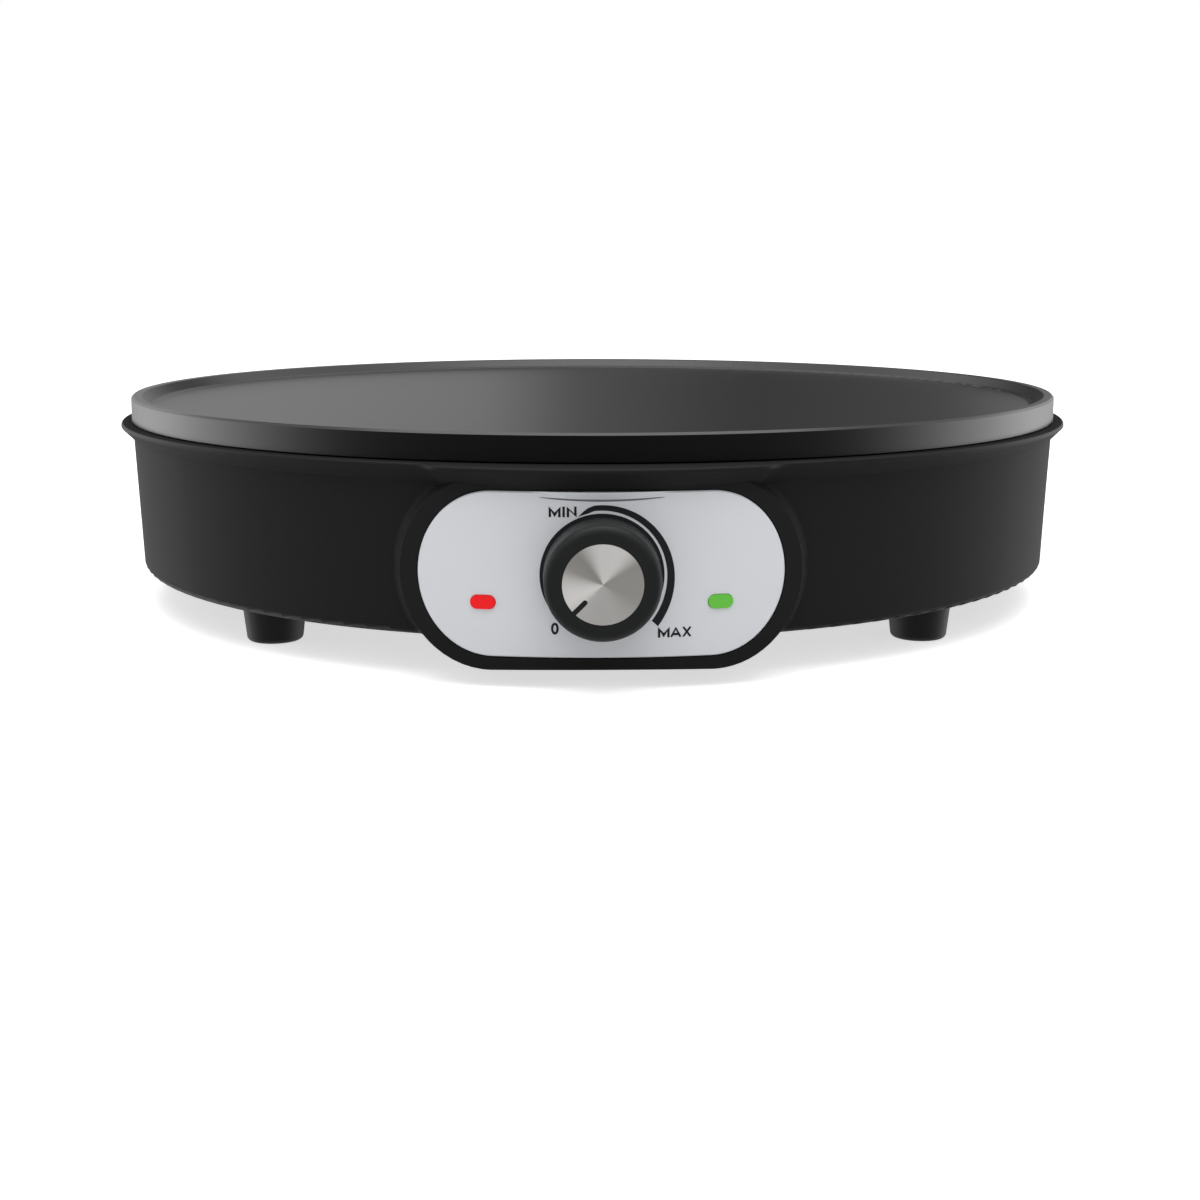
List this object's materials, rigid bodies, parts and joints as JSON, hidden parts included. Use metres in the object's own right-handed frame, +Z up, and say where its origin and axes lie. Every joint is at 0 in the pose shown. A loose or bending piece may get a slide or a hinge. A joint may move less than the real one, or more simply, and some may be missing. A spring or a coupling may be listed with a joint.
{
  "type": "electric crepe maker",
  "caption": "Round tabletop crepe maker: rimmed non-stick hot plate on a shallow black housing, with a curved front panel, a turning heat knob and indicator lamps.",
  "frame": {"origin": "centre of the plate's flat cooking surface", "axes": "+Z up, out of the cooking surface; the control panel and knob face -Y; +X is to the right of someone facing the panel"},
  "size_m": [0.327, 0.3421, 0.0697],
  "materials": {
    "plate_coating": "die-cast aluminium, charcoal non-stick coating, satin",
    "black_plastic": "moulded black heat-resistant plastic, satin",
    "cover_plastic": "moulded black plastic, matte",
    "foot_rubber": "black rubber, matte",
    "panel_silver": "silver-grey paint, satin",
    "knob_plastic": "moulded dark grey plastic, satin",
    "spun_steel": "circular brushed",
    "spring_steel": "bright spring steel",
    "zinc_steel": "zinc plated",
    "element_steel": "heat-stained tube",
    "pan_sheet": "mill finish sheet",
    "red_lens": "clear-coloured red lens",
    "green_lens": "clear-coloured green lens",
    "bulb_glass": "clear",
    "ceramic": "unglazed",
    "thermostat_housing": "brown phenolic, matte",
    "copper_probe": "bare copper",
    "fuse_can": "bare metal can",
    "block_plastic": "off-white plastic, matte",
    "screw_brass": "bare"
  },
  "bodies": {
    "base": {"cooking_plate": "plate_coating", "housing": "black_plastic", "bottom_cover": "cover_plastic", "foot_front_left": "foot_rubber", "foot_front_right": "foot_rubber", "foot_rear_left": "foot_rubber", "foot_rear_right": "foot_rubber", "foot_screws": "zinc_steel", "cover_screws": "zinc_steel", "control_panel": "panel_silver", "red_lamp_lens": "red_lens", "green_lamp_lens": "green_lens", "neon_bulbs": "bulb_glass", "thermostat_body": "thermostat_housing", "thermostat_bracket": "zinc_steel", "thermostat_screws": "zinc_steel", "thermostat_tabs": "screw_brass", "thermostat_probe": "copper_probe", "probe_clip": "spring_steel", "heating_element": "element_steel", "element_terminals": "zinc_steel", "element_clamps": "zinc_steel", "clamp_screws": "zinc_steel", "ceramic_bushes": "ceramic", "ceramic_washers": "ceramic", "plate_screws": "zinc_steel", "reflector_pan": "pan_sheet", "pan_screws": "zinc_steel", "thermal_fuse": "fuse_can", "fuse_clip": "spring_steel", "terminal_block": "block_plastic", "terminal_block_screws": "screw_brass", "cord_gland": "cover_plastic"},
    "knob_unit": {"knob": "knob_plastic", "knob_disc": "spun_steel", "knob_spring_clip": "spring_steel", "thermostat_shaft": "zinc_steel"}
  },
  "joints": [
    {"name": "knob_turn", "type": "hinge", "parent": "base", "child": "knob_unit", "pos_m": [0, -0.17, -0.03485], "axis": [0, 1, 0], "range_deg": [0, 265]}
  ]
}
